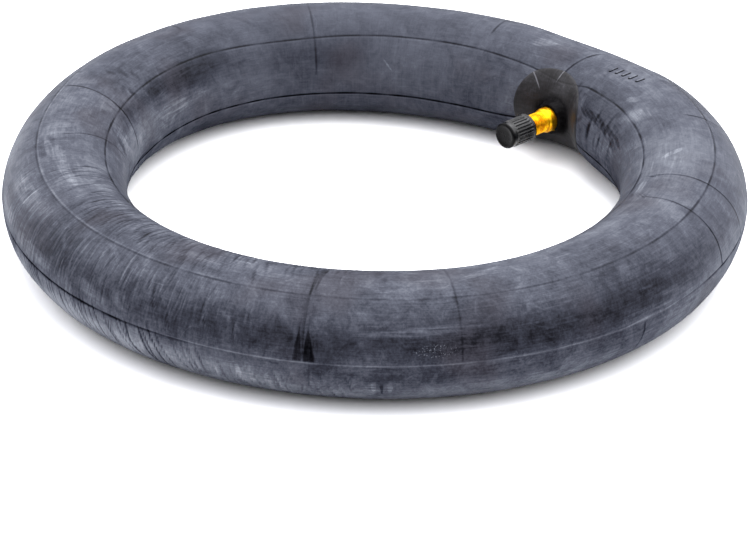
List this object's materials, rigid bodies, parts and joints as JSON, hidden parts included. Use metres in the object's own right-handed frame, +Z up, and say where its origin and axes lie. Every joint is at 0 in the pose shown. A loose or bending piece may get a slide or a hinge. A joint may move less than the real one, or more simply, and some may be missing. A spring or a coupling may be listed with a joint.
{
  "type": "inner tube",
  "caption": "Small-wheel butyl inner tube lying flat, with a straight brass valve on its inner side, a spring-loaded valve core and a ribbed screw-on dust cap.",
  "frame": {"origin": "middle of the tube's footprint, on the surface that the tube lies on", "axes": "+Z up along the ring's axis; the valve is on the ring's +Y side and points along -Y, into the ring; +X to the right of the valve seen from above"},
  "size_m": [0.259, 0.2528, 0.0399],
  "materials": {
    "butyl_rubber": "satin black rubber with a pale bluish bloom and talc",
    "base_rubber": "smooth black rubber, slightly brown",
    "seal_rubber": "matte black rubber",
    "stem_brass": "bright yellow brass with a fine thread",
    "core_brass": "turned brass",
    "spring_steel": "drawn steel wire",
    "cap_plastic": "satin black moulded plastic"
  },
  "bodies": {
    "tube": {"tube_body": "butyl_rubber", "valve_base": "base_rubber", "valve_stem": "stem_brass", "core_plug": "core_brass", "core_barrel": "core_brass", "barrel_seal": "seal_rubber", "core_spring": "spring_steel"},
    "plunger": {"core_pin": "core_brass", "plunger_cup": "core_brass", "cup_seal": "seal_rubber"},
    "cap_washer": {"cap_seal": "seal_rubber"},
    "cap": {"dust_cap": "cap_plastic"}
  },
  "joints": [
    {"name": "pin_press", "type": "slide", "parent": "tube", "child": "plunger", "axis": [0, 1, 0], "range_m": [0, 0.0015], "stiffness_N_per_m": 800, "springref_m": -0.004, "deforming": ["core_spring"]},
    {"name": "cap_lift", "type": "slide", "parent": "tube", "child": "cap_washer", "axis": [0, -1, 0], "range_m": [0, 0.0127]},
    {"name": "cap_turn", "type": "hinge", "parent": "cap_washer", "child": "cap", "pos_m": [0, 0.0916, 0.0168], "axis": [0, -1, 0], "range_deg": [0, 5760]}
  ],
  "couplings": [
    {"joint": "cap_turn", "follows": "cap_lift", "rad_per_m": 7915.8}
  ]
}
